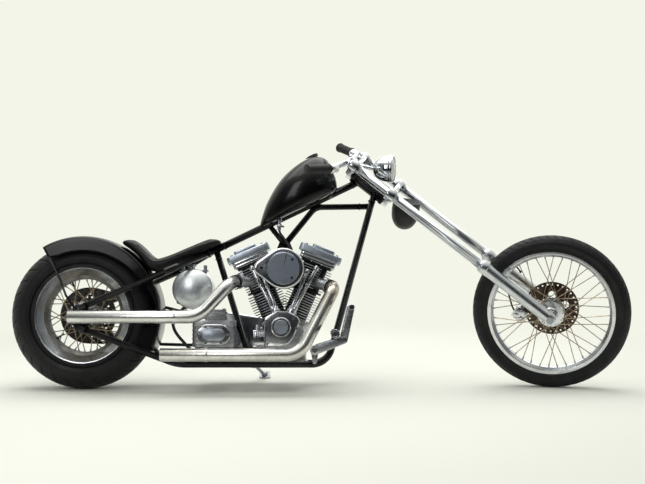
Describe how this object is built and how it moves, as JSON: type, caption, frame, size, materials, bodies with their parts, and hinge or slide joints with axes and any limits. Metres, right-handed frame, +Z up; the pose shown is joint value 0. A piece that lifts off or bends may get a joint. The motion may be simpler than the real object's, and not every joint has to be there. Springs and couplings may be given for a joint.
{
  "type": "chopper motorcycle",
  "caption": "Long rigid-frame chopper motorcycle with raked-out fork, teardrop tank, V-twin engine and wire wheels, parked on its side stand with the steering turned right.",
  "frame": {"origin": "on the floor, under the middle of the parked machine's box", "axes": "+X along the machine towards its front wheel, +Y to its left, the side it leans to, +Z up"},
  "size_m": [2.7351, 0.7249, 1.106],
  "materials": {
    "gloss_black_paint": "gloss",
    "seat_leather": "satin",
    "polished_aluminium": "polished",
    "satin_aluminium": "satin",
    "cast_aluminium": "as cast",
    "brushed_stainless": "brushed",
    "chrome_plate": "mirror",
    "tyre_rubber": "matte",
    "black_rubber": "matte",
    "spoke_steel": "satin",
    "disc_steel": "drilled, satin",
    "dark_steel": "oiled"
  },
  "bodies": {
    "frame": {"neck": "gloss_black_paint", "backbone": "gloss_black_paint", "upper_stays": "gloss_black_paint", "downtubes": "gloss_black_paint", "lower_rails": "gloss_black_paint", "seat_tube": "gloss_black_paint", "top_brace": "gloss_black_paint", "axle_plates": "gloss_black_paint", "rear_axle": "chrome_plate", "rear_fender": "gloss_black_paint", "fender_struts": "gloss_black_paint", "seat": "seat_leather", "fuel_tank": "gloss_black_paint", "fuel_cap": "gloss_black_paint", "fuel_valve": "polished_aluminium", "fuel_hose": "black_rubber", "oil_tank": "polished_aluminium", "oil_cap": "polished_aluminium", "oil_hose": "black_rubber", "crankcase": "cast_aluminium", "cam_cover": "polished_aluminium", "cylinders": "cast_aluminium", "rocker_boxes": "polished_aluminium", "pushrod_tubes": "chrome_plate", "air_cleaner": "polished_aluminium", "carburettor": "cast_aluminium", "oil_pump": "satin_aluminium", "transmission": "polished_aluminium", "primary_cover": "polished_aluminium", "drive_chain": "dark_steel", "rear_caliper": "satin_aluminium", "rear_exhaust": "brushed_stainless", "front_exhaust": "brushed_stainless", "brake_pedal": "satin_aluminium", "shift_lever": "satin_aluminium", "foot_pegs": "satin_aluminium"},
    "fork": {"upper_tree": "polished_aluminium", "lower_tree": "polished_aluminium", "fork_tubes": "chrome_plate", "fork_sliders": "satin_aluminium", "front_axle": "chrome_plate", "handlebar": "satin_aluminium", "grips": "black_rubber", "headlight": "chrome_plate", "horn": "gloss_black_paint", "front_caliper": "satin_aluminium", "brake_hose": "black_rubber"},
    "front_wheel": {"front_tyre": "tyre_rubber", "front_rim": "polished_aluminium", "front_hub": "satin_aluminium", "front_spokes": "spoke_steel", "front_disc": "disc_steel"},
    "rear_wheel": {"rear_tyre": "tyre_rubber", "rear_rim": "polished_aluminium", "rear_hub": "satin_aluminium", "rear_spokes": "spoke_steel", "rear_sprocket": "disc_steel"},
    "side_stand": {"side_stand": "gloss_black_paint"}
  },
  "joints": [
    {"name": "steering", "type": "hinge", "parent": "frame", "child": "fork", "pos_m": [0.22284, -0.00997, 0.89642], "axis": [-0.7869, 0.063, 0.6138], "range_deg": [0, 39.46]},
    {"name": "front_wheel_spin", "type": "hinge", "parent": "fork", "child": "front_wheel", "pos_m": [1.02822, -0.08727, 0.34168], "axis": [0.2083, 0.9635, 0.1682], "continuous": true},
    {"name": "rear_wheel_spin", "type": "hinge", "parent": "frame", "child": "rear_wheel", "pos_m": [-1.04256, -0.06874, 0.32382], "axis": [0, 0.9948, -0.1021], "continuous": true},
    {"name": "side_stand_swing", "type": "hinge", "parent": "frame", "child": "side_stand", "pos_m": [-0.30056, 0.06189, 0.08826], "axis": [0.0691, 0.4093, 0.9098], "range_deg": [0, 91.6]}
  ]
}
